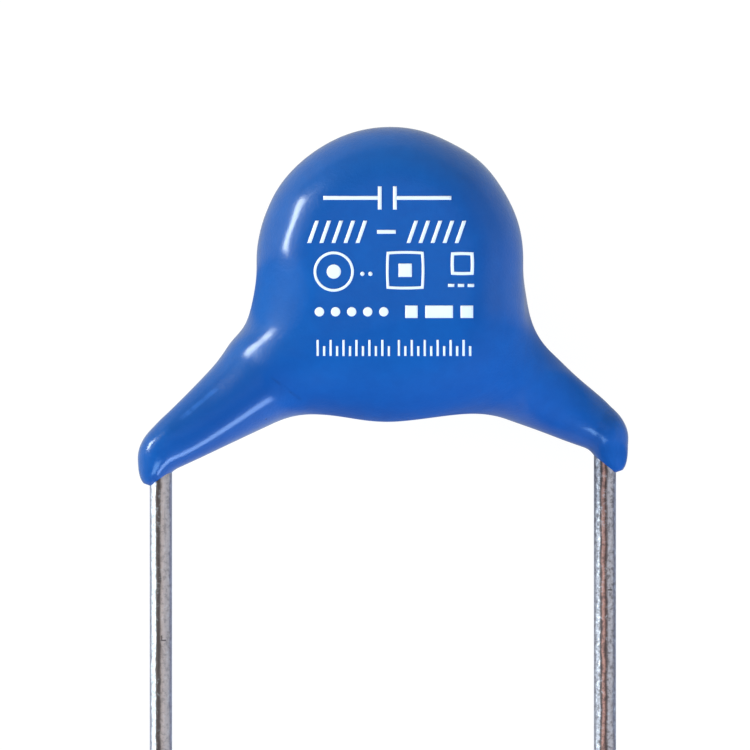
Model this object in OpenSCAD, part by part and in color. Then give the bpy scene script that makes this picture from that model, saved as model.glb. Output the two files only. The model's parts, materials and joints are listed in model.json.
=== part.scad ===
// Ceramic disc capacitor, dipped in epoxy, with two formed wire leads.
// The part lies on its back: the disc's axis is Z, its marked front face is up, and the leads run towards -Y.
// The origin is under the middle of the whole part, on the surface that the part lies on.

/* [Ceramic disc] */
// Diameter of the ceramic disc
ceramic_d = 5; // [4.6:0.1:5.6]
// Thickness of the ceramic disc
ceramic_t = 2.2; // [1.6:0.1:2.8]
// Rounding of the pressed edges of the ceramic disc
ceramic_edge = 0.12; // [0.05:0.01:0.2]
// How far the disc sits to the rear lead's side of the middle between the leads
disc_shift = 0.14; // [0:0.02:0.3]

/* [Electrodes] */
// Diameter of the fired silver layer on each face
electrode_d = 4.4; // [4.2:0.1:4.5]
// Thickness of the fired silver layer
electrode_t = 0.05; // [0.03:0.01:0.08]

/* [Leads] */
// Distance between the leads, centre to centre
lead_pitch = 10; // [9.5:0.1:10.8]
// Diameter of the lead wire
lead_d = 0.5; // [0.45:0.01:0.6]
// Length of straight lead beyond the front lead's coat
lead_free = 20; // [12:1:30]
// Radius of the lead's bend, at the wire's centre
lead_bend_r = 0.6; // [0.5:0.05:0.7]
// How much thicker the wire is where it was gripped for forming, above the coat's mouth
grip_swell = 0.006; // [0.005:0.001:0.008]
// How far the front lead's bend lies below the disc's centre
front_knee = 4.28; // [4:0.02:4.5]
// How far the rear lead's bend lies below the disc's centre
rear_knee = 3.85; // [3.6:0.02:4.1]
// How far the front lead's inner end lies below the disc's centre
front_joint = 0.4; // [0.2:0.05:0.7]
// How far the rear lead's inner end lies below the disc's centre
rear_joint = 0.65; // [0.4:0.05:0.9]
// How far each lead reaches across the disc past its centre
joint_past = 0.4; // [0.2:0.05:0.6]

/* [Solder] */
// Length of each solder mound, along its lead
solder_len = 2.2; // [1.8:0.1:2.4]
// Width of each solder mound
solder_w = 1.4; // [1.2:0.05:1.6]
// Solder under the wire, between it and the silver layer
solder_film = 0.05; // [0.03:0.01:0.1]
// Solder over the top of the wire
solder_cover = 0.06; // [0.03:0.01:0.12]
// Solder beyond the lead's inner end
solder_past = 0.3; // [0.2:0.05:0.4]

/* [Epoxy coat] */
// Coat over the wires, at the middle of each face
coat_face = 0.45; // [0.4:0.01:0.6]
// Coat round the rim of the ceramic disc
coat_rim = 0.5; // [0.4:0.01:0.6]
// How much further the coat hangs down on the leads' side of the disc
coat_sag = 0.62; // [0.4:0.05:0.8]
// Rounding of the coat's edge, seen from the side
coat_edge_r = 1.4; // [1.2:0.05:1.6]
// Fall of the coat's faces from their middle to the rim
coat_dome = 0.14; // [0.08:0.01:0.2]
// Coat round the wire at its bend
sleeve_wall = 0.26; // [0.22:0.01:0.32]
// Half width of the sleeve where it has run under the disc's face
sleeve_root = 1.72; // [1.5:0.02:1.9]
// Depth of the sleeve's far side below the disc's middle level, once it has run under the face
sleeve_web = 1.44; // [1:0.02:1.6]
// How far the sleeve's near side, over the wire, falls away under the face
sleeve_fall = 1.1; // [0.9:0.05:1.2]
// Radius of the blend between the sleeves and the disc
fillet = 1; // [0.8:0.02:1.2]
// Rounding of the sleeve's outer corner at the bend
corner_round = 0.22; // [0.1:0.02:0.3]

/* [Coat mouths] */
// How far the front lead's coat reaches below its bend
front_mouth = 0.74; // [0.66:0.02:0.86]
// How far the rear lead's coat reaches below its bend
rear_mouth = 0.87; // [0.74:0.02:0.94]
// Slant of the coat's end, longer on the outer side of the lead
mouth_tilt = 37; // [30:1:42]
// Rounding of the coat's lip at the lead
lip_round = 0.7; // [0.5:0.05:0.8]

/* [Hidden] */

// Facets of the round parts
round_fn = 64;
wire_fn = 40;

// The front lead leaves on the -X side and the rear lead on the +X side
front = -1;
rear = 1;

// How far each stretch of a lead reaches into the next thicker one
wire_lap = 0.05;
// Radius of the blend between the two stretches of a sleeve, at the bend
knee_blend = 0.1;
// Where along its run, as a share, the sleeve's near side starts to fall, and how soon its two sides have
// run their course: a pace of 2 means over half of the run
fall_from = 0.45;
fall_pace = 2.6;
web_pace = 1.5;

lead_r = lead_d / 2;
disc_c = [disc_shift, 0];
disc_r = ceramic_d / 2 + coat_rim;
electrode_top = ceramic_t / 2 + electrode_t;
lead_level = electrode_top + solder_film + lead_r;
half_t = lead_level + lead_r + coat_face;

// The leads' plan: bend, inner end and coat mouth of the lead on side s
function knee(s) = [s * lead_pitch / 2, s == front ? -front_knee : -rear_knee];
function joint(s) = [disc_shift - s * joint_past, s == front ? -front_joint : -rear_joint];
function mouth(s) = knee(s) - [0, s == front ? front_mouth : rear_mouth];
function unit(v) = v / norm(v);
function run(s) = joint(s) - knee(s);
function level(s) = -s * lead_level;
leads_end = mouth(front).y - lead_free;

// Where the whole part sits: over the origin, with its back on z = 0
sleeve_tip = lead_r + sleeve_wall;
part_pos = [0, -(disc_r + leads_end) / 2, half_t];

// The coat's skin is where skin() is zero. It is negative inside the coat.
// A smooth minimum of two distances joins two bodies with a fillet k wide.
function blend(a, b, k) = let (h = max(k - abs(a - b), 0) / k) min(a, b) - h * h * k / 4;
function trim(a, b, k) = -blend(-a, -b, k);
function clamp01(t) = min(max(t, 0), 1);
function ease(t) = let (c = clamp01(t)) c * c * (3 - 2 * c);

// Dipped disc: a drum with a rounded edge and domed faces, drawn out by the sag
function drum(p) =
    let (r = norm([p.x - disc_shift, p.y + coat_sag * clamp01(-p.y / coat_sag)]),
         a = r - (disc_r - coat_edge_r),
         b = abs(p.z) + coat_dome * pow(r / disc_r, 2) - (half_t - coat_edge_r))
    min(max(a, b), 0) + norm([max(a, 0), max(b, 0)]) - coat_edge_r;

// An oval sleeve of half width w and half height h at a distance d from its centre line
function oval(d, z, w, h) = (norm([d / w, z / h]) - 1) * w;

// The sleeve on side s as [bend, run, run's length, level, rim distance, mouth, mouth's outward normal,
// and the direction from the bend's inner side to its outer side]
function sleeve_of(s) =
    let (v = run(s), k = knee(s))
    [k, v, norm(v), level(s), norm(k - disc_c) - disc_r, mouth(s),
     [-s * sin(mouth_tilt), -cos(mouth_tilt)], unit(outward(s, unit(v)) + outward(s, [0, 1]))];
front_sleeve = sleeve_of(front);
rear_sleeve = sleeve_of(rear);

// Sleeve along the run: it widens towards the disc and thickens into a web on the side away from its wire.
// Its near side keeps level over the wire until the disc's face covers the wire.
function sleeve_run(p, a) =
    let (q = [p.x, p.y] - a[0],
         t = clamp01(q * a[1] / (a[2] * a[2])),
         w = sleeve_tip + (sleeve_root - sleeve_tip) * t,
         webbed = ease(web_pace * t),
         near_z = lead_level + sleeve_tip - sleeve_fall * ease(fall_pace * (t - fall_from)),
         far_z = (lead_level - sleeve_tip) * (1 - webbed) - sleeve_web * webbed)
    oval(norm(q - t * a[1]), p.z * sign(a[3]) - (near_z + far_z) / 2, w, (near_z - far_z) / 2);

// Sleeve below the bend, cut off on a slant at the mouth with a rounded lip
function sleeve_end(p, a) =
    let (q = [p.x, p.y] - a[0],
         t = clamp01(-q.y),
         d = oval(norm([q.x, q.y + t]), p.z - a[3], sleeve_tip, sleeve_tip),
         cut = ([p.x, p.y] - a[5]) * a[6])
    trim(d, cut, lip_round);

function sleeve(p, a) =
    trim(blend(sleeve_run(p, a), sleeve_end(p, a), knee_blend),
         ([p.x, p.y] - a[0]) * a[7] - sleeve_tip, corner_round);
function skin(p) =
    blend(blend(drum(p), sleeve(p, front_sleeve), fillet), sleeve(p, rear_sleeve), fillet);

// The skin is drawn as closed sections from one coat mouth over the disc to the other.
// A section is [centre, half chord, half height], and its points are found along rays from its centre.
ring_n = 48;
disc_n = 16;
arm_n = 9;
nose_n = 8;
search_steps = 16;
search_reach = 2.2;
// Layout of the sections, which leaves the shape as it is: where the sleeve's begin, as a share of the
// disc's radius inside its rim, how far their centres sink there, their height there, and the last ring
shoulder_in = 0.13;
shoulder_sink = 0.35;
shoulder_height = 0.6;
last_ring = 0.98;

// The side of a line along u, seen from above, that faces away from the leads' middle
function outward(s, u) = s * [u.y, -u.x];
function flat(v) = [v.x, v.y];
function along(a) = a[1] / a[2];
// Distance from the bend at which the sections over the disc give way to those along the sleeve
function shoulder(a) = a[4] - shoulder_in * disc_r;

// Section square to the sleeve, at a distance d from its bend
function arm_section(s, a, d) =
    let (c = a[0] + along(a) * d,
         w = sleeve_tip + (sleeve_root - sleeve_tip) * d / a[2],
         near = clamp01(2 - 2 * d / shoulder(a)))
    [[c.x, c.y, a[3] * (1 - shoulder_sink * (1 - near))],
     outward(s, along(a)) * w,
     half_t * shoulder_height * (1 - near) + w * near];

// Section over the disc, f of the way from its middle to the shoulder: the chords turn like a fan
function disc_section(s, a, f) =
    let (last = arm_section(s, a, shoulder(a)),
         top_end = flat(last[0]) + last[1] - disc_c,
         foot_end = flat(last[0]) - last[1],
         turn = atan2(s * top_end.x, top_end.y) * f,
         top = disc_c + [s * sin(turn), cos(turn)] * (disc_r + (norm(top_end) - disc_r) * f),
         foot = [disc_shift, -disc_r - coat_sag] * (1 - f * f) + foot_end * f * f,
         mid = (top + foot) / 2,
         late = f * f * f)
    [[mid.x, mid.y, last[0].z * late], (top - foot) / 2, half_t * (1 - late) + last[2] * late];

// Point where the ray from c along v leaves the skin
function leave(c, v, near, far, n) =
    let (m = (near + far) / 2)
    n == 0 ? c + v * m : skin(c + v * m) < 0 ? leave(c, v, m, far, n - 1) : leave(c, v, near, m, n - 1);
function ring(q) = [for (i = [0 : ring_n - 1])
    let (t = 360 * i / ring_n, v = [q[1].x * cos(t), q[1].y * cos(t), q[2] * sin(t)])
    leave(q[0], v, 0, search_reach, search_steps)];

// The outermost point of the coat's lip, where the sections close
function lip(s, a) =
    let (p = a[5] + [s * lead_r, -lead_r * tan(mouth_tilt)] - a[0])
    leave([a[0].x, a[0].y, a[3]], [p.x, p.y, 0], 0, search_reach, search_steps);

// Section round the nose, f of the way from the bend to the lip
function nose_section(s, a, f) =
    let (end = flat(lip(s, a)) - a[0],
         c = a[0] + end * f,
         out = unit(outward(s, along(a)) * (1 - f) - outward(s, unit(end)) * f))
    [[c.x, c.y, a[3]], out * sleeve_tip, sleeve_tip];

// All sections of one side, from the disc's middle out to the lip
function side_sections(s, a) = [
    for (i = [1 : disc_n]) disc_section(s, a, i / disc_n),
    for (i = [1 : arm_n]) arm_section(s, a, shoulder(a) * (1 - i / arm_n)),
    for (i = [1 : nose_n]) nose_section(s, a, last_ring * sin(90 * i / nose_n))];
function reverse(v) = [for (i = [len(v) - 1 : -1 : 0]) v[i]];

// Solid inside the skin: the rings joined in order, and a point at each end
module dipped_skin() {
    sections = concat(
        reverse(side_sections(front, front_sleeve)),
        [disc_section(rear, rear_sleeve, 0)],
        side_sections(rear, rear_sleeve));
    rings = [for (q = sections) ring(q)];
    rows = len(rings);
    body = [for (r = rings) each r];
    points = concat(body, [lip(front, front_sleeve), lip(rear, rear_sleeve)]);
    first_tip = rows * ring_n;
    polyhedron(points, [
        for (j = [0 : rows - 2], i = [0 : ring_n - 1])
            let (n = (i + 1) % ring_n, p = j * ring_n, q = p + ring_n)
            each [[p + i, q + i, q + n], [p + i, q + n, p + n]],
        for (i = [0 : ring_n - 1]) [(i + 1) % ring_n, first_tip, i],
        for (i = [0 : ring_n - 1])
            let (p = (rows - 1) * ring_n)
            [p + i, first_tip + 1, p + (i + 1) % ring_n]]);
}

// Lead on side s: straight leg, slight taper from the coat's mouth, bend, and run over the disc's face.
// Each stretch is a hair thicker than the last up to the bend, and reaches a little way into the next.
module formed_lead(s) {
    turn = acos(run(s).y / norm(run(s)));
    setback = lead_bend_r * tan(turn / 2);
    bend_start = knee(s).y - setback;
    mirror([s == front ? 1 : 0, 0, 0])
        translate([s * knee(s).x - lead_bend_r, 0, level(s)]) {
            straight_wire(lead_d, lead_d, leads_end, mouth(s).y + wire_lap);
            straight_wire(lead_d + grip_swell / 2, lead_d + grip_swell, mouth(s).y, bend_start + wire_lap);
            translate([0, bend_start, 0]) {
                rotate_extrude(angle = turn, $fn = 2 * wire_fn)
                    translate([lead_bend_r, 0]) circle(d = lead_d + 2 * grip_swell, $fn = wire_fn);
                rotate([0, 0, turn])
                    straight_wire(lead_d, lead_d, -wire_lap, norm(run(s)) - setback);
            }
        }
}

// Round wire along Y from y0 to y1, beside the middle of the bend, d0 thick at y0 and d1 at y1
module straight_wire(d0, d1, y0, y1)
    translate([lead_bend_r, y0, 0])
        rotate([-90, 0, 0]) cylinder(d1 = d0, d2 = d1, h = y1 - y0, $fn = wire_fn);

// Solder mound on side s: two low barrel vaults crossed, flat on the silver layer
module mound(s) {
    tall = solder_film + lead_d + solder_cover;
    u = unit(run(s));
    mid = joint(s) + u * (solder_past - solder_len / 2);
    // Radius of the arch that spans w at the given height
    function arch(w) = (w * w / 4 + tall * tall) / (2 * tall);
    translate([mid.x, mid.y, -s * electrode_top])
        mirror([0, 0, s == front ? 0 : 1])
            rotate([0, 0, atan2(u.y, u.x)])
                intersection() {
                    translate([-solder_len, 0, tall - arch(solder_w)])
                        rotate([0, 90, 0]) cylinder(r = arch(solder_w), h = 2 * solder_len, $fn = round_fn);
                    translate([0, solder_w, tall - arch(solder_len)])
                        rotate([90, 0, 0]) cylinder(r = arch(solder_len), h = 2 * solder_w, $fn = round_fn);
                    translate([-solder_len, -solder_w, 0])
                        cube([2 * solder_len, 2 * solder_w, 2 * tall]);
                }
}

module silver_layer(s)
    translate([disc_shift, 0, s == front ? ceramic_t / 2 : -electrode_top])
        cylinder(d = electrode_d, h = electrode_t, $fn = round_fn);

module pressed_disc() {
    e = ceramic_edge;
    r = ceramic_d / 2;
    h = ceramic_t / 2;
    translate([disc_shift, 0, 0])
        rotate_extrude($fn = round_fn)
            union() {
                translate([0, -h]) square([r - e, 2 * h]);
                translate([0, e - h]) square([r, 2 * (h - e)]);
                for (y = [e - h, h - e])
                    translate([r - e, y]) circle(r = e, $fn = 32);
            }
}

module place() translate(part_pos) children();

module ceramic_disc() color("tan") place() pressed_disc();
module front_electrode() color("gainsboro") place() silver_layer(front);
module rear_electrode() color("gainsboro") place() silver_layer(rear);
module front_solder() color("darkgray") place() difference() { mound(front); formed_lead(front); }
module rear_solder() color("darkgray") place() difference() { mound(rear); formed_lead(rear); }
module front_lead() color("silver") place() formed_lead(front);
module rear_lead() color("silver") place() formed_lead(rear);
module coating() color("royalblue") place() difference() {
    dipped_skin();
    pressed_disc();
    for (s = [front, rear]) {
        silver_layer(s);
        mound(s);
        formed_lead(s);
    }
}

coating();
ceramic_disc();
front_electrode();
rear_electrode();
front_solder();
rear_solder();
front_lead();
rear_lead();
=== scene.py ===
# Dipped ceramic disc capacitor on its back, seen from straight above.
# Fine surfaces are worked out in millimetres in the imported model's own frame, and their meshes are in metres.
import json

import bpy
import numpy as np
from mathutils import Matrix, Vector


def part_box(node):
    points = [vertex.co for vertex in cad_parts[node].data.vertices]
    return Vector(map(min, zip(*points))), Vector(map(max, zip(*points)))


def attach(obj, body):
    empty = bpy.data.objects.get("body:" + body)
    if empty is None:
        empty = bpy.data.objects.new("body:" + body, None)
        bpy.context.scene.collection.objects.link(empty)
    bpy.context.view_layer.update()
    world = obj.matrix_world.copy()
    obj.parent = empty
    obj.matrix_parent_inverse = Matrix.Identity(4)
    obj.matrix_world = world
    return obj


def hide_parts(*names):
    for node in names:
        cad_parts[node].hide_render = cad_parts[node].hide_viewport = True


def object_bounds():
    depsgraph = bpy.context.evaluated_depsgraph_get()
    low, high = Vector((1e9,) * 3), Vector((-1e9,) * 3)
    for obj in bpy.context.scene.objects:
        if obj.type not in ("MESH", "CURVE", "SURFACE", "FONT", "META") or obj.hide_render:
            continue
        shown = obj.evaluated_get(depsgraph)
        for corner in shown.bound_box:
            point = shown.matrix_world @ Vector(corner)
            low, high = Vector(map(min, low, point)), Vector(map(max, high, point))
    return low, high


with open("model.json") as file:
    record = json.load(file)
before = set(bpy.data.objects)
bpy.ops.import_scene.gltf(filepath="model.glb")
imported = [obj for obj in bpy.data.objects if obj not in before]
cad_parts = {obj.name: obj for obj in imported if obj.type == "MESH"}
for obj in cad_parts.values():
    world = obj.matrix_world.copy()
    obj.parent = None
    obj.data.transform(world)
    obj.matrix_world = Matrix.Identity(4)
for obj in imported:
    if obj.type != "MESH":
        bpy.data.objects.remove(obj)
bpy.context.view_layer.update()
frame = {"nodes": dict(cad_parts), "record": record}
mm = 0.001
mounts = {m["name"]: m for m in frame["record"]["mounts"]}


def boxOf(node):  # lowest and highest corner of a CAD node, in millimetres
    low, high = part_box(node)
    return np.array(low) / mm, np.array(high) / mm


# Shader maths: a wrapped socket, so that an expression on masks adds its own Math nodes
class Sock:
    def __init__(self, shader, socket):
        self.shader = shader
        self.socket = socket

    def math(self, operation, other=None):
        values = {0: self}
        if other is not None:
            values[1] = other
        return self.shader.add("ShaderNodeMath", {"operation": operation}, values)

    def __add__(self, other):
        return self.math("ADD", other)

    def __sub__(self, other):
        return self.math("SUBTRACT", other)

    def __mul__(self, other):
        return self.math("MULTIPLY", other)

    def __truediv__(self, other):
        return self.math("DIVIDE", other)

    def __rsub__(self, other):
        return self.shader.add("ShaderNodeMath", {"operation": "SUBTRACT"}, {0: other, 1: self})

    __radd__ = __add__
    __rmul__ = __mul__

    def size(self):
        return self.math("ABSOLUTE")

    def step(self, low, high):  # smooth step from 0 at low to 1 at high
        settings = {"interpolation_type": "SMOOTHSTEP"}
        values = {"Value": self, "From Min": low, "From Max": high}
        return self.shader.add("ShaderNodeMapRange", settings, values)


class Shader:
    def __init__(self, name):
        self.material = bpy.data.materials.new(name)
        self.material.use_nodes = True
        self.tree = self.material.node_tree
        self.surface = self.tree.nodes["Principled BSDF"]

    def add(self, kind, settings=None, values=None, out=0):  # any node: settings first, then its sockets
        node = self.tree.nodes.new(kind)
        for key, value in (settings or {}).items():
            if key == "stops":
                self.setStops(node.color_ramp.elements, value)
            else:
                setattr(node, key, value)
        for key, value in (values or {}).items():
            self.join(value, node.inputs[key])
        return Sock(self, node.outputs[out])

    def setStops(self, elements, stops):  # places from 0 to 1, each with its colour
        while len(elements) < len(stops):
            elements.new(0.5)
        for element, (place, colour) in zip(elements, stops):
            element.position = place
            element.color = colour

    def join(self, value, socket):
        if isinstance(value, Sock):
            self.tree.links.new(value.socket, socket)
        else:
            socket.default_value = value

    def set(self, **values):  # sockets of the Principled surface, by name with spaces left out
        for key, value in values.items():
            name = next(s.name for s in self.surface.inputs if s.name.replace(" ", "") == key)
            self.join(value, self.surface.inputs[name])

    def place(self, scale=(1, 1, 1), shift=(0, 0, 0)):  # Object coordinates in millimetres, scaled, shifted
        spot = self.add("ShaderNodeTexCoord", out=3)
        size = tuple(s / mm for s in scale)
        return self.add("ShaderNodeMapping", None, {"Vector": spot, "Scale": size, "Location": shift})

    def axes(self, spot):
        return [self.add("ShaderNodeSeparateXYZ", None, {0: spot}, out=i) for i in range(3)]

    def noise(self, spot, scale, detail=3.0, rough=0.5):
        values = {"Vector": spot, "Scale": scale, "Detail": detail, "Roughness": rough}
        return self.add("ShaderNodeTexNoise", None, values)

    def mix(self, share, one, other):  # colours
        values = {0: share, 6: one, 7: other}
        return self.add("ShaderNodeMix", {"data_type": "RGBA"}, values, out=2)

    def ramp(self, share, stops):
        return self.add("ShaderNodeValToRGB", {"stops": stops}, {0: share})

    def spots(self, spot, scale):  # distance to the nearest of many scattered points
        return self.add("ShaderNodeTexVoronoi", None, {"Vector": spot, "Scale": scale})

    def bump(self, height, distance):  # distance in millimetres
        return self.add("ShaderNodeBump", None, {"Height": height, "Distance": distance * mm})


def rgb(red, green, blue):  # a display colour of 0 to 255, as the linear colour that the nodes take
    share = np.array([red, green, blue]) / 255
    linear = np.where(share <= 0.04045, share / 12.92, ((share + 0.055) / 1.055) ** 2.4)
    return (*linear.tolist(), 1.0)


def meshPiece(name, points, faces, material, replaced=()):  # a closed mesh, with its faces outwards
    mesh = bpy.data.meshes.new(name)
    mesh.from_pydata((points * mm).tolist(), [], faces.tolist())
    mesh.polygons.foreach_set("use_smooth", np.ones(len(faces), bool))
    mesh.update()
    mesh.materials.append(material)
    piece = bpy.data.objects.new(name, mesh)
    bpy.context.scene.collection.objects.link(piece)
    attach(piece, "root")
    if replaced:
        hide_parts(*replaced)
    print(name, len(points), "points", len(faces), "faces")
    return piece


# The coat's sizes, in millimetres, beyond what the frame gives
coatForm = {
    "rim": 0.5,  # round the ceramic's rim
    "overWire": 0.45,  # over the wires, on each face
    "sag": 0.62,  # further down on the leads' side
    "edgeRadius": 1.4,
    "dome": 0.14,  # fall of the faces from the middle to the rim
    "sleeveWall": 0.26,  # round each wire
    "sleeveRoot": 1.72,  # half width where the sleeve has run under the face
    "sleeveWeb": 1.44,  # depth of the sleeve's far side there, below the middle level
    "webPace": 1.5,
    "sleeveFall": 1.1,  # of its near side, under the face
    "fallFrom": 0.45,
    "fallPace": 2.6,
    "fillet": 1.0,
    "kneeBlend": 0.1,
    "cornerRound": 0.22,
    "mouthTilt": 37.0,  # degrees
    "lipRound": 0.7,
    "jointPast": 0.4,  # how far a wire runs past the disc's middle
}
leadForm = {
    -1: {"node": "front_lead", "mount": "front_lead_end", "mouth": 0.74, "joint": 0.4},
    1: {"node": "rear_lead", "mount": "rear_lead_end", "mouth": 0.87, "joint": 0.65},
}

ceramicLow, ceramicHigh = boxOf("ceramic_disc")
discMiddle = (ceramicLow + ceramicHigh) / 2
discRadius = (ceramicHigh[0] - ceramicLow[0]) / 2 + coatForm["rim"]


def leadSide(side):  # the wire's knee, run over the disc and coat mouth on one side, from the frame
    form = leadForm[side]
    mount = mounts[form["mount"]]
    end = np.array(mount["pos_m"]) / mm
    mouth = end[:2] + [0, mount["dims"]["length_mm"]]
    knee = mouth + [0, form["mouth"]]
    joint = discMiddle[:2] + [-side * coatForm["jointPast"], -form["joint"]]
    run = joint - knee
    along = run / np.linalg.norm(run)
    corner = outwardOf(side, along) + outwardOf(side, np.array([0.0, 1.0]))
    tilt = np.radians(coatForm["mouthTilt"])
    return {
        "side": side,
        "end": end,
        "radius": mount["dims"]["r_mm"],
        "mouth": mouth,
        "knee": knee,
        "run": run,
        "length": np.linalg.norm(run),
        "along": along,
        "corner": corner / np.linalg.norm(corner),
        "level": end[2] - discMiddle[2],
        "rim": np.linalg.norm(knee - discMiddle[:2]) - discRadius,
        "down": np.array([-side * np.sin(tilt), -np.cos(tilt)]),
    }


def outwardOf(side, u):  # the side of a line along u that faces away from the leads' middle
    return side * np.stack([u[..., 1], -u[..., 0]], -1)


frontSide = leadSide(-1)
rearSide = leadSide(1)
wireRadius = frontSide["radius"]
wireLevel = frontSide["level"]  # over the disc's middle on the front, and as far under it on the back
halfThick = wireLevel + wireRadius + coatForm["overWire"]
sleeveTip = wireRadius + coatForm["sleeveWall"]


# The coat's skin is where coatSkin is zero: a domed drum and two tapered sleeves, blended.
def smoothMin(a, b, k):  # the smaller value, less a parabola where the two differ by under k
    h = np.maximum(k - np.abs(a - b), 0) / k
    return np.minimum(a, b) - h * h * k / 4


def clamped(t):
    return np.clip(t, 0, 1)


def eased(t):  # 3 t squared less 2 t cubed, from 0 to 1
    t = clamped(t)
    return t * t * (3 - 2 * t)


def drumSkin(x, y, z):  # distance to a drum with a rounded edge, domed faces and a sag towards -Y
    sag = coatForm["sag"]
    r = np.hypot(x, y + sag * clamped(-y / sag))
    a = r - (discRadius - coatForm["edgeRadius"])
    b = np.abs(z) + coatForm["dome"] * (r / discRadius) ** 2 - (halfThick - coatForm["edgeRadius"])
    outside = np.hypot(np.maximum(a, 0), np.maximum(b, 0))
    return np.minimum(np.maximum(a, b), 0) + outside - coatForm["edgeRadius"]


def ovalSkin(d, z, w, h):  # an oval of half width w and half height h
    return (np.hypot(d / w, z / h) - 1) * w


def sleeveSkin(x, y, z, lead):  # level over its wire, webbed on its far side, and cut in a slanted round lip
    qx, qy = x - lead["knee"][0], y - lead["knee"][1]
    t = clamped((qx * lead["run"][0] + qy * lead["run"][1]) / lead["length"] ** 2)
    w = sleeveTip + (coatForm["sleeveRoot"] - sleeveTip) * t
    webbed = eased(coatForm["webPace"] * t)
    fallen = eased(coatForm["fallPace"] * (t - coatForm["fallFrom"]))
    nearZ = wireLevel + sleeveTip - coatForm["sleeveFall"] * fallen
    farZ = (wireLevel - sleeveTip) * (1 - webbed) - coatForm["sleeveWeb"] * webbed
    d = np.hypot(qx - t * lead["run"][0], qy - t * lead["run"][1])
    run = ovalSkin(d, -lead["side"] * z - (nearZ + farZ) / 2, w, (nearZ - farZ) / 2)
    end = ovalSkin(np.hypot(qx, qy + clamped(-qy)), z - lead["level"], sleeveTip, sleeveTip)
    cut = (x - lead["mouth"][0]) * lead["down"][0] + (y - lead["mouth"][1]) * lead["down"][1]
    end = -smoothMin(-end, -cut, coatForm["lipRound"])
    corner = qx * lead["corner"][0] + qy * lead["corner"][1] - sleeveTip
    return -smoothMin(-smoothMin(run, end, coatForm["kneeBlend"]), -corner, coatForm["cornerRound"])


def coatSkin(p):  # p is an array of points in the row frame, in millimetres
    x, y, z = p[..., 0], p[..., 1], p[..., 2] - discMiddle[2]
    drum = drumSkin(x - discMiddle[0], y - discMiddle[1], z)
    k = coatForm["fillet"]
    return smoothMin(smoothMin(drum, sleeveSkin(x, y, z, frontSide), k), sleeveSkin(x, y, z, rearSide), k)


def skinNormal(p, reach=0.01):  # the skin's outward direction, from differences a reach apart
    slope = [coatSkin(p + reach * axis) - coatSkin(p - reach * axis) for axis in np.eye(3)]
    slope = np.stack(slope, -1)
    return slope / np.linalg.norm(slope, axis=-1, keepdims=True)


def castOut(origin, ray, reach):  # where each ray leaves the skin, by halving the stretch that holds it
    near = np.zeros(ray.shape[:-1])
    far = np.full(ray.shape[:-1], float(reach))
    for _ in range(20):
        middle = (near + far) / 2
        inside = coatSkin(origin + ray * middle[..., None]) < 0
        near = np.where(inside, middle, near)
        far = np.where(inside, far, middle)
    return origin + ray * ((near + far) / 2)[..., None]


# Closed sections run from one lip over the disc to the other, and their points are found along rays.
coatMesh = {"around": 256, "disc": 92, "arm": 58, "nose": 38, "reach": 2.2}  # steps, and a ray's length
sectionForm = {"inRim": 0.13, "sink": 0.35, "height": 0.6, "lastRing": 0.98}


def rows(*parts):  # columns of equal length, side by side
    return np.concatenate([np.atleast_2d(np.asarray(p, float).T).T for p in parts], -1)


def armSections(lead, d):  # square to the sleeve, at distances d from the knee
    shoulder = lead["rim"] - sectionForm["inRim"] * discRadius
    d = np.atleast_1d(d)[:, None]
    near = clamped(2 - 2 * d / shoulder)
    w = sleeveTip + (coatForm["sleeveRoot"] - sleeveTip) * d / lead["length"]
    centre = lead["knee"] + lead["along"] * d
    level = lead["level"] * (1 - sectionForm["sink"] * (1 - near))
    height = halfThick * sectionForm["height"] * (1 - near) + w * near
    return rows(centre, level), outwardOf(lead["side"], lead["along"]) * w, height


def discSections(lead, f):  # f from 0 at the disc's middle to 1 at the shoulder: the chords turn like a fan
    shoulder = lead["rim"] - sectionForm["inRim"] * discRadius
    last, chord, lastHeight = armSections(lead, shoulder)
    head = (last[:, :2] + chord - discMiddle[:2])[0]
    foot = (last[:, :2] - chord)[0]
    f = f[:, None]
    turn = np.arctan2(lead["side"] * head[0], head[1]) * f
    radius = discRadius + (np.linalg.norm(head) - discRadius) * f
    top = discMiddle[:2] + rows(lead["side"] * np.sin(turn), np.cos(turn)) * radius
    bottom = (discMiddle[:2] - [0, discRadius + coatForm["sag"]]) * (1 - f * f) + foot * f * f
    late = f**3
    height = halfThick * (1 - late) + lastHeight * late
    return rows((top + bottom) / 2, last[:, 2:] * late), (top - bottom) / 2, height


def lipPoint(lead):  # the lip's outermost point, where the sections close
    tilt = np.tan(np.radians(coatForm["mouthTilt"]))
    aim = lead["mouth"] + wireRadius * np.array([lead["side"], -tilt]) - lead["knee"]
    start = np.array([*lead["knee"], discMiddle[2] + lead["level"]])
    return castOut(start[None], np.array([[*aim, 0.0]]), coatMesh["reach"])[0]


def noseSections(lead, f):  # f from 0 at the knee to nearly 1 at the lip
    end = lipPoint(lead)[:2] - lead["knee"]
    f = f[:, None]
    last = outwardOf(lead["side"], end / np.linalg.norm(end))
    out = outwardOf(lead["side"], lead["along"]) * (1 - f) - last * f
    out = out / np.linalg.norm(out, axis=1, keepdims=True)
    centre = rows(lead["knee"] + end * f, np.full_like(f, lead["level"]))
    return centre, out * sleeveTip, np.full_like(f, sleeveTip)


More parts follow.
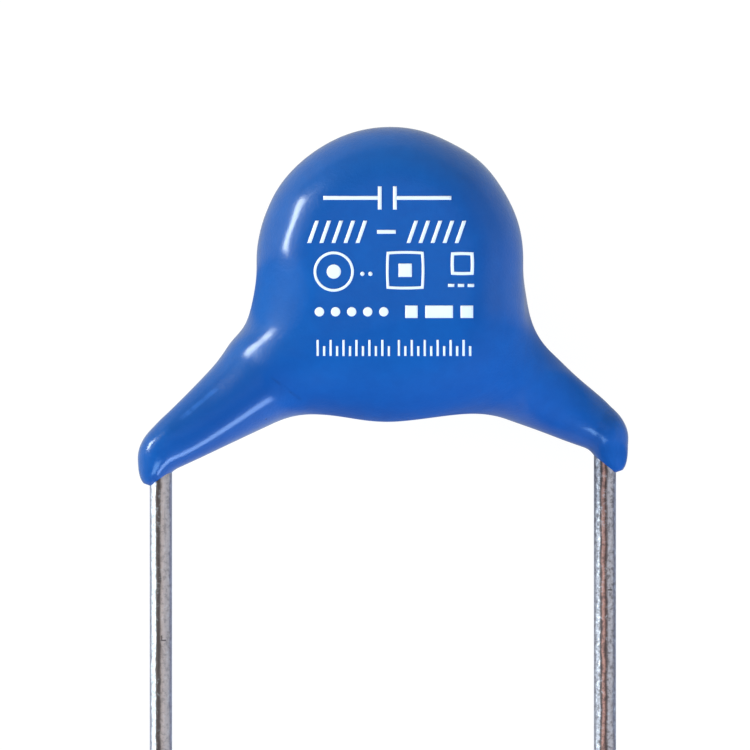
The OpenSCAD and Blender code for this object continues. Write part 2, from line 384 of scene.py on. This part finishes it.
def sideSections(lead):
    shoulder = lead["rim"] - sectionForm["inRim"] * discRadius
    discShare = np.arange(1, coatMesh["disc"] + 1) / coatMesh["disc"]
    armShare = 1 - np.arange(1, coatMesh["arm"] + 1) / coatMesh["arm"]
    quarter = np.pi / 2 * np.arange(1, coatMesh["nose"] + 1) / coatMesh["nose"]
    noseShare = sectionForm["lastRing"] * np.sin(quarter)
    disc = discSections(lead, discShare)
    arm = armSections(lead, shoulder * armShare)
    nose = noseSections(lead, noseShare)
    return [np.concatenate(kind) for kind in zip(disc, arm, nose)]


def coatSurface():  # the rings of points in order, the two lips, and the faces that join them
    front, rear = sideSections(frontSide), sideSections(rearSide)
    middle = discSections(rearSide, np.zeros(1))
    centre, chord, height = [np.concatenate([a[::-1], b, c]) for a, b, c in zip(front, middle, rear)]
    n = coatMesh["around"]
    t = 2 * np.pi * np.arange(n) / n
    ray = np.stack([chord[:, :1] * np.cos(t), chord[:, 1:] * np.cos(t), height * np.sin(t)], -1)
    origin = (centre + [0, 0, discMiddle[2]])[:, None, :]
    ring = castOut(origin, ray, coatMesh["reach"])
    points = np.concatenate([ring.reshape(-1, 3), [lipPoint(frontSide), lipPoint(rearSide)]])
    row, col = np.meshgrid(np.arange(len(centre) - 1), np.arange(n), indexing="ij")
    a = (row * n + col).ravel()
    b = (row * n + (col + 1) % n).ravel()
    quads = np.stack([a, b, b + n, a + n], -1)
    triangles = np.concatenate([quads[:, [0, 1, 2]], quads[:, [0, 2, 3]]])
    k = np.arange(n)
    nextK = (k + 1) % n
    last = (len(centre) - 1) * n
    tips = np.concatenate([
        np.stack([k, np.full(n, len(points) - 2), nextK], -1),
        np.stack([last + nextK, np.full(n, len(points) - 1), last + k], -1),
    ])
    return points, np.concatenate([triangles, tips])


# Fine unevenness of the dipped coat, added along the skin's outward direction, in millimetres
coatRelief = {
    "waves": 9,
    "seed": 4,
    "depth": 0.0035,
    "longest": 3.4,
    "shortest": 1.1,
    "spotFade": 0.8,  # a spot fades in over this height
}
# Local swellings and hollows of the front: place from the disc's middle, direction of the long axis
# in degrees, half lengths along and across, height, and the level above which the spot fades in
reliefSpots = [
    ((-3.35, -1.92), 33, (0.5, 0.28), 0.12, -0.3),  # swelling where the wire leaves the disc
    ((-3.95, -3.0), 30, (0.5, 0.3), -0.03, -0.3),  # flatter beyond it
    ((-2.35, -2.9), -40, (0.5, 0.28), -0.04, -0.3),  # hollow between arm and disc
    ((-5.0, -3.9), 45, (0.3, 0.25), 0.06, -0.3),  # swelling over the wire's bend
    ((-2.24, 1.44), 55, (0.5, 0.33), 0.04, -0.3),  # along the left rim
    ((-2.32, 0.6), 62, (0.6, 0.2), 0.012, -0.3),
    ((4.8, -3.72), -24, (0.8, 0.38), 0.08, -1.7),  # along the right arm's end
]


def spotHeight(p, spot):  # height times e to the minus squared distance, measured in half lengths
    at, turn, (halfLong, halfShort), height, level = spot
    turn = np.radians(turn)
    x = p[:, 0] - discMiddle[0] - at[0]
    y = p[:, 1] - discMiddle[1] - at[1]
    u = (x * np.cos(turn) + y * np.sin(turn)) / halfLong
    v = (y * np.cos(turn) - x * np.sin(turn)) / halfShort
    facing = eased((p[:, 2] - discMiddle[2] - level) / coatRelief["spotFade"])
    return height * np.exp(-u * u - v * v) * facing


def reliefHeight(p):  # a sum of slow waves in chosen directions, and the local spots
    pick = np.random.default_rng(coatRelief["seed"])
    height = np.zeros(len(p))
    for i in range(coatRelief["waves"]):
        direction = pick.normal(size=3)
        direction = direction / np.linalg.norm(direction)
        shorter = (coatRelief["shortest"] - coatRelief["longest"]) * i / coatRelief["waves"]
        length = coatRelief["longest"] + shorter
        phase = pick.uniform(0, 2 * np.pi)
        height += coatRelief["depth"] * np.sin(p @ direction * 2 * np.pi / length + phase)
    for spot in reliefSpots:
        height += spotHeight(p, spot)
    return height


coatPaint = {
    "deep": rgb(0, 84, 162),
    "bright": rgb(0, 98, 180),
    "shade": rgb(0, 71, 148),
    # dark blue of the dots at the pits and of the painted shade along the crease
    "speck": rgb(6, 36, 84),
    # lighter blue of a painted highlight line along the left arm
    "scuff": rgb(60, 128, 214),
    "shadeShare": 0.6,
    "scuffShare": 0.35,
    "speckShare": 0.75,
    "roughness": 0.33,
    "dullRoughness": 0.6,
    "grainRoughness": 0.06,
    "specular": 0.25,
    "gloss": 0.95,  # of the clear skin over the colour
    "glossRoughness": 0.16,
    "glossIor": 1.45,
    "bump": 0.008,  # millimetres
    "frontFrom": (-1.6, -1.0),  # marks of the front fade in between these levels from the disc's middle
    "lineFade": 0.2,  # millimetres at each end of a straight mark
}
# Straight marks on the coat: two ends from the disc's middle, half width
coatLines = {
    # the crease is bumped in and also painted darker along its line as painted shade
    "crease": ((-2.72, -2.56), (-1.95, -3.16), 0.05),
    # a painted highlight: a lighter blue line along the left arm
    "runMark": ((-3.8, -2.8), (-4.75, -3.6), 0.07),
}
# Oval areas of the front: middle, direction of the long axis in degrees, half lengths
coatAreas = {
    "armShade": ((-3.5, -3.05), 33, (2.1, 0.75)),
    "leftDull": ((-2.45, -0.75), 72, (1.05, 0.95)),
    "rootDull": ((-2.2, -2.75), -40, (0.95, 0.7)),
    "lowerDull": ((0.7, -2.5), 8, (3.8, 1.6)),
    "armDull": ((3.75, -3.1), -35, (1.05, 0.75)),
    "lipDull": ((5.08, -4.4), -60, (0.5, 0.4)),
}


def nearLine(x, y, line):  # 1 on a straight mark, falling to 0 past its half width and its ends
    (x0, y0), (x1, y1), half = line
    length = float(np.hypot(x1 - x0, y1 - y0))
    cosine, sine = (x1 - x0) / length, (y1 - y0) / length
    along = (x - x0) * cosine + (y - y0) * sine
    across = (y - y0) * cosine - (x - x0) * sine
    fade = coatPaint["lineFade"]
    ends = along.step(0, fade) * (1 - along.step(length - fade, length))
    return (1 - across.size().step(half * 0.3, half)) * ends


def nearMiddle(x, y, area):  # 1 in the middle of an oval area, falling smoothly to 0 at its edge
    (x0, y0), turn, (long, short) = area
    cosine, sine = float(np.cos(np.radians(turn))), float(np.sin(np.radians(turn)))
    u = ((x - x0) * cosine + (y - y0) * sine) / long
    v = ((y - y0) * cosine - (x - x0) * sine) / short
    return 1 - (u * u + v * v).step(0, 1)


def coatMaterial():
    s = Shader("blue epoxy")
    spot = s.place(shift=tuple(-discMiddle))
    x, y, z = s.axes(spot)
    front = z.step(*coatPaint["frontFrom"])
    cloud = s.noise(spot, 0.5, 4.0)
    mottle = s.noise(spot, 3.0, 5.0, 0.6)
    grain = s.noise(spot, 14.0, 3.0, 0.6)
    crease, runMark = [nearLine(x, y, line) * front for line in coatLines.values()]
    ovals = [nearMiddle(x, y, area) * front for area in coatAreas.values()]
    armShade, leftDull, rootDull, lowerDull, armDull, lipDull = ovals
    shade = s.mix((cloud - 0.35) * 1.2 + (mottle - 0.5) * 0.9, coatPaint["deep"], coatPaint["bright"])
    shade = s.mix(armShade * coatPaint["shadeShare"], shade, coatPaint["shade"])
    # Painted highlight: a lighter blue line mixed in along the left arm
    shade = s.mix(runMark * mottle.step(0.35, 0.65) * coatPaint["scuffShare"], shade, coatPaint["scuff"])
    # Dark blue dots where the coat is bumped in as pits, and a painted shade along the crease
    pits = (1 - s.spots(spot, 1.7).step(0.02, 0.05)) * s.noise(spot, 0.9, 2.0).step(0.5, 0.58)
    specksAndCreaseShade = pits.math("MAXIMUM", crease * mottle.step(0.35, 0.6) * 0.5)
    shade = s.mix(specksAndCreaseShade * coatPaint["speckShare"], shade, coatPaint["speck"])
    dull = leftDull.math("MAXIMUM", rootDull).math("MAXIMUM", lowerDull)
    dull = dull.math("MAXIMUM", armDull).math("MAXIMUM", lipDull)
    gloss = (1 - (dull * 2).math("MINIMUM", 1)) * coatPaint["gloss"]
    rough = coatPaint["roughness"] + dull * (coatPaint["dullRoughness"] - coatPaint["roughness"])
    rough = rough + (grain - 0.5) * coatPaint["grainRoughness"]
    s.set(BaseColor=shade, Roughness=rough, SpecularIORLevel=coatPaint["specular"])
    s.set(CoatWeight=gloss, CoatRoughness=coatPaint["glossRoughness"], CoatIOR=coatPaint["glossIor"])
    s.set(Normal=s.bump(grain + mottle * 0.8 - crease * 0.5 - pits * 2, coatPaint["bump"]))
    return s.material


def makeCoat():
    points, faces = coatSurface()
    points = points + skinNormal(points) * reliefHeight(points)[:, None]
    meshPiece("dipped_coat", points, faces, coatMaterial(), ["coating"])


# Wires: a round section carried along the leg, round the bend and over the disc's face
wireShape = {
    "sides": 48,
    "bendRadius": 0.6,
    "bendRings": 18,
    "legStep": 0.25,
    "runRings": 12,
    "endRound": 0.03,
}


def wirePath(lead):  # points along the wire's centre from the free end, and the direction at each
    turn = np.arccos(lead["along"][1])
    setback = wireShape["bendRadius"] * np.tan(turn / 2)
    bendStart = lead["knee"][1] - setback
    legRings = int((bendStart - lead["end"][1]) / wireShape["legStep"])
    y = np.linspace(lead["end"][1], bendStart, legRings)
    leg = np.stack([np.full(legRings, lead["end"][0]), y], -1)
    angle = np.linspace(0, turn, wireShape["bendRings"])[1:]
    middleX = lead["end"][0] - lead["side"] * wireShape["bendRadius"]
    across = middleX + lead["side"] * wireShape["bendRadius"] * np.cos(angle)
    bend = np.stack([across, bendStart + wireShape["bendRadius"] * np.sin(angle)], -1)
    share = np.linspace(0, 1, wireShape["runRings"])[1:, None]
    run = bend[-1] + (lead["knee"] + lead["run"] - bend[-1]) * share
    path = np.concatenate([leg, bend, run])
    way = np.gradient(path, axis=0)
    return path, way / np.linalg.norm(way, axis=1, keepdims=True)


def wireSurface(lead):  # rings square to the path, with a rounded cut at each end
    path, way = wirePath(lead)
    sideways = np.stack([way[:, 1], -way[:, 0]], -1)
    t = 2 * np.pi * np.arange(wireShape["sides"]) / wireShape["sides"]
    inset = wireShape["endRound"]
    radius = np.full(len(path), lead["radius"])
    start, stop = path[:1] + way[:1] * inset, path[-1:] - way[-1:] * inset
    path = np.concatenate([path[:1], start, path[1:-1], stop, path[-1:]])
    sideways = np.concatenate([sideways[:1], sideways, sideways[-1:]])
    radius = np.concatenate([[lead["radius"] - inset], radius, [lead["radius"] - inset]])
    ring = path[:, None, :] + sideways[:, None, :] * (radius[:, None] * np.cos(t))[..., None]
    height = lead["end"][2] + radius[:, None] * np.sin(t)
    points = np.concatenate([ring, height[..., None]], -1)
    count, n = points.shape[:2]
    row, col = np.meshgrid(np.arange(count - 1), np.arange(n), indexing="ij")
    a = (row * n + col).ravel()
    b = (row * n + (col + 1) % n).ravel()
    quads = np.stack([a, a + n, b + n, b], -1)
    ends = np.array([[*path[0], lead["end"][2]], [*path[-1], lead["end"][2]]])
    points = np.concatenate([points.reshape(-1, 3), ends])
    k = np.arange(n)
    nextK = (k + 1) % n
    last = (count - 1) * n
    caps = np.concatenate([
        np.stack([k, nextK, np.full(n, len(points) - 2)], -1),
        np.stack([last + nextK, last + k, np.full(n, len(points) - 1)], -1),
    ])
    triangles = np.concatenate([quads[:, [0, 1, 2]], quads[:, [0, 2, 3]], caps])
    return points, triangles


# Bands across each wire: place from its left edge, 0, to its right edge, 1. They are mostly painted
# reflections: the near-white line, the pale edges and the light bands; the dark bands are partly tarnish and
# partly painted reflection, and the copper line on the rear lead is the wire's own colour.
wireBandsAndReflections = {
    "front_lead": [
        (0.0, rgb(150, 147, 160)), (0.06, rgb(160, 157, 170)), (0.1, rgb(252, 252, 253)),
        (0.24, rgb(252, 252, 252)), (0.29, rgb(104, 90, 82)), (0.37, rgb(80, 66, 60)),
        (0.46, rgb(96, 82, 76)), (0.52, rgb(190, 166, 154)), (0.62, rgb(214, 190, 178)),
        (0.76, rgb(206, 184, 174)), (0.86, rgb(192, 174, 168)), (0.91, rgb(136, 126, 136)),
        (1.0, rgb(158, 155, 170)),
    ],
    "rear_lead": [
        (0.0, rgb(160, 155, 163)), (0.08, rgb(150, 145, 152)), (0.13, rgb(204, 201, 208)),
        (0.24, rgb(196, 192, 198)), (0.29, rgb(92, 82, 80)), (0.34, rgb(112, 90, 84)),
        (0.39, rgb(216, 158, 140)), (0.46, rgb(196, 142, 126)), (0.52, rgb(88, 62, 54)),
        (0.58, rgb(132, 112, 106)), (0.65, rgb(206, 188, 182)), (0.8, rgb(202, 184, 178)),
        (0.88, rgb(132, 122, 128)), (0.93, rgb(132, 127, 138)), (1.0, rgb(172, 168, 180)),
    ],
}
wirePaint = {
    "glint": rgb(255, 255, 255),
    "dirt": rgb(84, 70, 66),
    "dirtShare": 0.6,
    "streakShare": 0.3,
    "nickShare": 0.85,
    "brightShare": 0.35,
    # patchy also sets how strong the painted glints and the lighter patches are
    "patchy": {"front_lead": 0.55, "rear_lead": 1.0},  # how worn the tin looks
    "wander": 0.09,  # sideways, of the bands, in millimetres
    "metal": 0.25,
    "roughness": 0.34,
    "streakRoughness": 0.25,
    "bump": 0.012,  # millimetres
}
# Nicks, in millimetres: place up from the wire's free end and off its centre line, half length, half width
wireNicks = {
    "front_lead": [(16.5, 0.06, 0.02, 0.07), (16.56, 0.02, 0.06, 0.015)],
    "rear_lead": [(17.6, 0.11, 0.02, 0.06)],
}


def wireMaterial(lead, name, node):
    s = Shader(name)
    spot = s.place(shift=tuple(-lead["end"]))
    x, y, z = s.axes(spot)
    wobble = s.noise(s.place((1, 0.5, 1)), 4.0, 4.0, 0.65) - 0.5
    streaks = s.noise(s.place((1, 0.1, 1)), 11.0, 4.0, 0.65)
    mottle = s.noise(spot, 10.0, 4.0, 0.7)
    share = (x + wobble * wirePaint["wander"]) / (2 * lead["radius"]) + 0.5
    # Bands across the wire: mostly painted reflections, with the wire's own tarnish and copper
    colour = s.ramp(share, wireBandsAndReflections[node])
    patchy = wirePaint["patchy"][node]
    colour = s.mix((0.5 - mottle).step(0, 0.12) * patchy * wirePaint["dirtShare"], colour, wirePaint["dirt"])
    # Painted glints: white flecks along the bright line; the lighter patches elsewhere are random tone mixed
    # towards the same white
    glints = mottle.step(0.54, 0.62) * share.step(0.08, 0.14) * (1 - share.step(0.24, 0.3))
    bright = (mottle - 0.5).step(0.05, 0.2) * wirePaint["brightShare"]
    colour = s.mix((glints * patchy).math("MAXIMUM", bright * patchy), colour, wirePaint["glint"])
    colour = s.mix(streaks.step(0.5, 0.75) * wirePaint["streakShare"], colour, wirePaint["dirt"])
    for up, off, halfLong, halfWide in wireNicks[node]:
        across = ((x - off) / halfWide).size().step(0.6, 1.1)
        along = ((y - up) / halfLong).size().step(0.6, 1.1)
        nick = (1 - across) * (1 - along) * z.step(0, 0.05)
        colour = s.mix(nick * wirePaint["nickShare"], colour, wirePaint["dirt"])
    rough = wirePaint["roughness"] + (streaks - 0.5) * wirePaint["streakRoughness"]
    s.set(BaseColor=colour, Metallic=wirePaint["metal"], Roughness=rough)
    s.set(Normal=s.bump(streaks + mottle, wirePaint["bump"]))
    return s.material


def makeWires():
    for lead in (frontSide, rearSide):
        node = leadForm[lead["side"]]["node"]
        points, faces = wireSurface(lead)
        name = "tinned_" + node
        material = wireMaterial(lead, name.replace("_", " "), node)
        meshPiece(name, points, faces, material, [node])


# Generic printed marks on the front face, in millimetres from the disc's middle
markForm = {
    "stroke": 0.085,
    "ink": 0.012,  # height over the coat
    "sunk": 0.02,
    "cell": 0.05,  # longest mesh cell
    "headroom": 0.5,  # how far over the face a ray looks for it
}


def blot(x, y, w, h, corner=0.0, slant=0.0):  # filled patch: a square of points, its corners drawn in
    across = max(2, int(np.ceil(w / markForm["cell"])) + 1)
    up = max(2, int(np.ceil(h / markForm["cell"])) + 1)
    u, v = np.meshgrid(np.linspace(-1, 1, across), np.linspace(-1, 1, up), indexing="ij")
    px = u * np.sqrt(1 - corner * v * v / 2) * w / 2
    py = v * np.sqrt(1 - corner * u * u / 2) * h / 2
    return np.stack([x + px + slant * py, y + py], -1), False


def outline(x, y, w, h, corner, stroke):  # closed band along the edge of such a patch
    count = 4 * int(np.ceil(max(w, h) / markForm["cell"]))
    t = np.arange(4 * count) / count
    ramp = 2 * (t % 1) - 1
    leg = t.astype(int)
    u = np.choose(leg, [ramp, np.ones_like(t), -ramp, -np.ones_like(t)])
    v = np.choose(leg, [-np.ones_like(t), ramp, np.ones_like(t), -ramp])
    edge = np.stack([u * np.sqrt(1 - corner * v * v / 2), v * np.sqrt(1 - corner * u * u / 2)], -1)
    sizes = [np.array([w - 2 * stroke * i, h - 2 * stroke * i]) / 2 for i in (0, 0.5, 1)]
    return np.stack([edge * size for size in sizes], 1) + [x, y], True


def markList():
    s = markForm["stroke"]
    marks = [blot(-0.06 + side * 0.82, 1.4, 1.22, s) for side in (-1, 1)]
    marks += [blot(-0.06 + side * 0.17, 1.4, s, 0.52) for side in (-1, 1)]
    marks += [blot(-1.72 + 0.27 * i, 0.64, s, 0.5, slant=0.35) for i in range(5)]
    marks += [blot(-0.08, 0.64, 0.42, s)]
    marks += [blot(0.5 + 0.27 * i, 0.64, s, 0.5, slant=0.35) for i in range(5)]
    marks += [outline(-1.26, -0.25, 0.9, 0.9, 1.0, 0.06), blot(-1.26, -0.25, 0.32, 0.32, 1.0)]
    marks += [blot(-0.62 + 0.18 * i, -0.3, 0.1, 0.1, 1.0) for i in range(2)]
    marks += [outline(0.34, -0.22, 0.86, 0.86, 0.15, 0.06), blot(0.34, -0.22, 0.3, 0.3)]
    marks += [outline(1.62, -0.07, 0.52, 0.52, 0.15, 0.07)]
    marks += [blot(1.37 + 0.22 * i, -0.56, 0.14, 0.07) for i in range(3)]
    marks += [blot(-1.58 + 0.36 * i, -1.15, 0.21, 0.21, 1.0) for i in range(5)]
    marks += [blot(1.1 + side * 0.62, -1.15, 0.28, 0.28) for side in (-1, 1)]
    marks += [blot(1.1, -1.15, 0.62, 0.28)]
    for start in (-1.62, 0.2):
        for i in range(12):  # long and short strokes in turn
            drop, tall = (0.07, 0.22) if i % 2 else (0, 0.36)
            marks += [blot(start + 0.145 * i, -1.96 - drop, 0.05, tall)]
    return marks


def faceHeight(xy):  # height of the coat's front face over each point
    origin = np.concatenate([xy, np.full((*xy.shape[:-1], 1), discMiddle[2])], -1)
    return castOut(origin, np.broadcast_to([0.0, 0.0, 1.0], origin.shape), halfThick + markForm["headroom"])


def slab(xy, closed):  # a patch laid on the coat: its top, a sunk copy of it, and walls round the edges
    top = faceHeight(xy + discMiddle[:2])
    m, n = top.shape[:2]
    normal = skinNormal(top)
    top = top + normal * reliefHeight(top.reshape(-1, 3)).reshape(m, n, 1)
    points = np.concatenate([top + normal * markForm["ink"], top - normal * markForm["sunk"]]).reshape(-1, 3)
    row, col = np.meshgrid(np.arange(m if closed else m - 1), np.arange(n - 1), indexing="ij")
    a = (row * n + col).ravel()
    b = (((row + 1) % m) * n + col).ravel()
    quads = [np.stack([a, b, b + 1, a + 1], -1), np.stack([a + 1, b + 1, b, a], -1) + m * n]
    i = np.arange(m if closed else m - 1)
    step = ((i + 1) % m) * n
    quads.append(np.stack([i * n + m * n, step + m * n, step, i * n], -1))
    quads.append(np.stack([i * n + n - 1, step + n - 1, step + n - 1 + m * n, i * n + n - 1 + m * n], -1))
    if not closed:
        j = np.arange(n - 1)
        quads.append(np.stack([j, j + 1, j + 1 + m * n, j + m * n], -1))
        e = j + (m - 1) * n
        quads.append(np.stack([e + m * n, e + 1 + m * n, e + 1, e], -1))
    return points, np.concatenate(quads)


def markMaterial():
    s = Shader("white ink")
    grain = s.noise(s.place(), 22.0, 3.0, 0.6)
    s.set(BaseColor=s.mix(grain, rgb(248, 249, 252), rgb(254, 254, 255)), Roughness=0.6)
    s.set(Normal=s.bump(grain, 0.002))
    return s.material


def makeMarks():
    points, faces, count = [], [], 0
    for xy, closed in markList():
        p, f = slab(xy, closed)
        points.append(p)
        faces.append(f + count)
        count += len(p)
    meshPiece("printed_marks", np.concatenate(points), np.concatenate(faces), markMaterial())


# The pieces sealed inside the coat keep their solids and get their own finishes
innerPaint = {
    "ceramic_disc": (rgb(196, 172, 138), rgb(176, 150, 116), 0.7, 0.0, 6.0),
    "front_electrode": (rgb(214, 212, 206), rgb(186, 183, 176), 0.5, 1.0, 9.0),
    "rear_electrode": (rgb(214, 212, 206), rgb(186, 183, 176), 0.5, 1.0, 9.0),
    "front_solder": (rgb(168, 170, 174), rgb(128, 130, 134), 0.35, 1.0, 4.0),
    "rear_solder": (rgb(168, 170, 174), rgb(128, 130, 134), 0.35, 1.0, 4.0),
}


def finishInside():
    for node, (light, dark, rough, metal, scale) in innerPaint.items():
        s = Shader(node.replace("_", " "))
        grain = s.noise(s.place(), scale, 4.0, 0.6)
        s.set(BaseColor=s.mix(grain, dark, light), Metallic=metal, Roughness=rough + (grain - 0.5) * 0.2)
        s.set(Normal=s.bump(grain, 0.01))
        mesh = frame["nodes"][node].data
        mesh.materials.clear()
        mesh.materials.append(s.material)


# Studio: lamps stand in degrees round the part, counter-clockwise from +X, and down from straight up
studio = {
    "aim": (0.14, 11.0, 2.0),
    "floorSize": 3000.0,
    "floorDrop": 0.02,
    "floorColour": (0.42, 0.42, 0.42, 1.0),
    "floorGlow": 1.14,  # as the camera sees it
    "floorShare": 0.85,
    "mirroredShare": 0.14,
    "air": [(0.0, 0.36), (0.2, 0.36), (0.4, 0.34), (0.6, 0.28), (1.0, 0.16)],  # horizon to straight up
    "airTint": (0.82, 0.92, 1.0),
}
# Each lamp: degrees round and down, distance, size, level and tint
lamps = {
    "leftStrip": (160, 66, 200, (120, 42), 21.0, (0.86, 0.97, 1.0)),
    "lowRight": (306, 67, 200, (110, 56), 10.0, (0.4, 0.62, 1.0)),
    "lowLeft": (262, 48, 200, (90, 60), 7.0, (0.34, 0.64, 1.0)),
    "softTop": (60, 12, 260, (180, 180), 1.7, (1.0, 1.0, 1.0)),
    "softLeft": (165, 66, 240, (180, 120), 1.2, (0.9, 0.97, 1.0)),
    "softRight": (0, 72, 240, (180, 120), 2.6, (0.75, 0.92, 1.0)),
}
diffuseOnly = ["softTop", "softLeft", "softRight"]  # light the part but aren't mirrored in it


def makeLamps():
    aim = Vector(studio["aim"]) * mm
    for name, (around, down, far, size, level, tint) in lamps.items():
        around, down = np.radians(around), np.radians(down)
        way = Vector((np.cos(around) * np.sin(down), np.sin(around) * np.sin(down), np.cos(down)))
        light = bpy.data.lights.new(name, "AREA")
        light.shape = "RECTANGLE"
        light.size, light.size_y = (s * mm for s in size)
        light.energy = level * np.pi * light.size * light.size_y
        light.color = tint
        lamp = bpy.data.objects.new(name, light)
        lamp.location = aim + way * far * mm
        lamp.rotation_euler = way.to_track_quat("Z", "Y").to_euler()
        lamp.visible_camera = False
        lamp.visible_glossy = name not in diffuseOnly
        bpy.context.scene.collection.objects.link(lamp)


def makeWorld():  # pale at the horizon and dim overhead
    world = bpy.data.worlds.new("studio air")
    world.use_nodes = True
    bpy.context.scene.world = world
    tree = world.node_tree
    spot = tree.nodes.new("ShaderNodeTexCoord")
    split = tree.nodes.new("ShaderNodeSeparateXYZ")
    ramp = tree.nodes.new("ShaderNodeValToRGB")
    while len(ramp.color_ramp.elements) < len(studio["air"]):
        ramp.color_ramp.elements.new(0.5)
    for element, (place, level) in zip(ramp.color_ramp.elements, studio["air"]):
        element.position = place
        element.color = (*[level * tint for tint in studio["airTint"]], 1)
    tree.links.new(spot.outputs["Generated"], split.inputs[0])
    tree.links.new(split.outputs["Z"], ramp.inputs[0])
    tree.links.new(ramp.outputs[0], tree.nodes["Background"].inputs["Color"])


def makeFloor():
    half = studio["floorSize"] / 2
    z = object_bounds()[0].z / mm - studio["floorDrop"]
    corners = np.array([[-half, -half, z], [half, -half, z], [half, half, z], [-half, half, z]])
    mesh = bpy.data.meshes.new("floor")
    mesh.from_pydata((corners * mm).tolist(), [], [[0, 1, 2, 3]])
    s = Shader("pale floor")
    s.set(BaseColor=studio["floorColour"], Roughness=0.9)
    direct, mirrored, through = [s.add("ShaderNodeLightPath", out=i) for i in (0, 3, 6)]
    seen = direct.math("MAXIMUM", through).math("MAXIMUM", mirrored * studio["mirroredShare"])
    glow = s.add("ShaderNodeEmission", None, {"Color": (1, 1, 1, 1), "Strength": studio["floorGlow"]})
    mixed = s.add("ShaderNodeMixShader", None, {0: seen * studio["floorShare"]})
    node = mixed.socket.node
    s.tree.links.new(s.surface.outputs[0], node.inputs[1])
    s.tree.links.new(glow.socket, node.inputs[2])
    s.tree.links.new(mixed.socket, s.tree.nodes["Material Output"].inputs["Surface"])
    mesh.materials.append(s.material)
    floor = bpy.data.objects.new("floor", mesh)
    bpy.context.scene.collection.objects.link(floor)


# Camera straight above: the photograph's middle and its width, at the part's mid height
view = {"middle": (-0.196, 8.442), "width": 16.89, "far": 420.0, "sensor": 36.0, "clip": (0.01, 10.0)}


def makeCamera():
    camera = bpy.data.cameras.new("camera")
    camera.sensor_width = view["sensor"]
    camera.lens = camera.sensor_width * view["far"] / view["width"]
    camera.clip_start, camera.clip_end = view["clip"]
    holder = bpy.data.objects.new("camera", camera)
    holder.location = Vector((*view["middle"], discMiddle[2] + view["far"])) * mm
    bpy.context.scene.collection.objects.link(holder)
    bpy.context.scene.camera = holder


bpy.context.scene.view_settings.view_transform = "Standard"
makeCamera()
print("camera ready")
makeLamps()
makeWorld()
makeFloor()
print("studio ready")
makeCoat()
makeWires()
makeMarks()
finishInside()
print("part ready")
